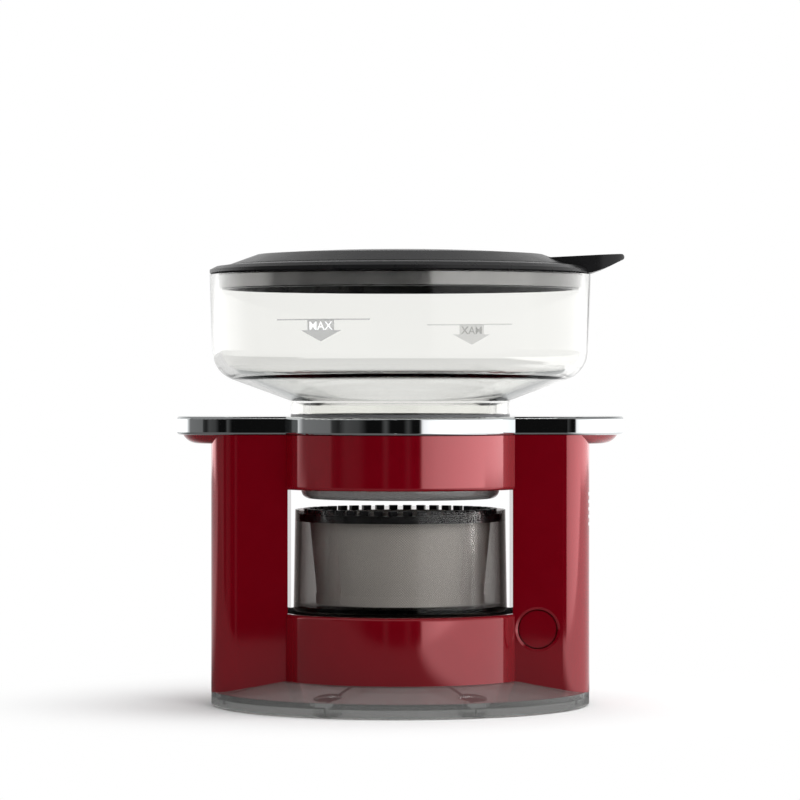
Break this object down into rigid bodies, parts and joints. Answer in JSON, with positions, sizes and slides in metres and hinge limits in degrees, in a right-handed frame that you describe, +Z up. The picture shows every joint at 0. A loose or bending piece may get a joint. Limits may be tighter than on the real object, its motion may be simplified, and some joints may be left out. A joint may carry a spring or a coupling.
{
  "type": "portable coffee maker",
  "caption": "Portable drip coffee maker: lidded clear tank over a red two-column body, motor-turned spray head, draw-out filter in a window, push button and clear base tray.",
  "frame": {"origin": "centre of the footprint on the surface that the feet stand on", "axes": "+Z up along the axis of the tank, spray head and filter; -Y is the front, where the window and the button are; +X towards the button's column"},
  "size_m": [0.1618, 0.138, 0.1644],
  "materials": {
    "red_gloss": "glossy moulded ABS with a fine metallic tint",
    "chrome": "chrome-plated plastic, mirror",
    "clear_tank": "clear moulded plastic",
    "clear_base": "clear moulded plastic",
    "clear_spray": "clear moulded plastic",
    "smoked": "smoked clear plastic",
    "black_gloss": "satin-gloss moulded plastic",
    "black_matte": "matt moulded plastic",
    "white_plastic": "natural acetal",
    "steel_mesh": "fine woven stainless mesh",
    "steel": "plain steel",
    "rubber": "matt rubber",
    "silicone": "silicone rubber",
    "cell_sleeve": "shrink sleeve",
    "board_green": "solder mask"
  },
  "bodies": {
    "housing": {"base_tray": "clear_base", "foot_pads": "rubber", "base_screws": "steel", "drip_deck": "black_matte", "front_housing": "red_gloss", "rear_housing": "red_gloss", "top_trim": "chrome", "bearing_sleeve": "white_plastic", "gear_motor": "steel", "motor_bracket": "steel", "bracket_screws": "steel", "battery_cell": "cell_sleeve", "battery_holder": "black_matte", "circuit_board": "board_green", "board_screws": "steel", "switch_body": "black_matte", "charge_board": "board_green", "charge_socket": "steel"},
    "spray": {"spray_head": "clear_spray"},
    "drive": {"drive_gear": "white_plastic", "drive_shaft": "steel"},
    "button": {"button_cap": "red_gloss", "switch_plunger": "white_plastic"},
    "tank": {"tank": "clear_tank", "tank_gasket": "silicone", "outlet_nozzle": "white_plastic"},
    "lid": {"lid": "black_gloss", "lid_seal": "silicone"},
    "filter": {"filter_cup": "smoked", "filter_rim": "black_gloss", "filter_mesh": "steel_mesh", "filter_base": "steel_mesh"}
  },
  "joints": [
    {"name": "spray_spin", "type": "hinge", "parent": "housing", "child": "spray", "pos_m": [0, 0, 0.0995], "axis": [0, 0, 1], "continuous": true},
    {"name": "drive_spin", "type": "hinge", "parent": "housing", "child": "drive", "pos_m": [0.0546, 0, 0.0995], "axis": [0, 0, 1], "continuous": true},
    {"name": "button_press", "type": "slide", "parent": "housing", "child": "button", "axis": [0, 1, 0], "range_m": [0, 0.0012], "stiffness_N_per_m": 900},
    {"name": "tank_lift", "type": "slide", "parent": "housing", "child": "tank", "axis": [0, 0, 1], "range_m": [0, 0.08]},
    {"name": "lid_lift", "type": "slide", "parent": "tank", "child": "lid", "axis": [0, 0, 1], "range_m": [0, 0.05]},
    {"name": "filter_draw", "type": "slide", "parent": "housing", "child": "filter", "axis": [0, -1, 0], "range_m": [0, 0.1]}
  ],
  "couplings": [
    {"joint": "drive_spin", "follows": "spray_spin", "ratio": -2.5}
  ]
}
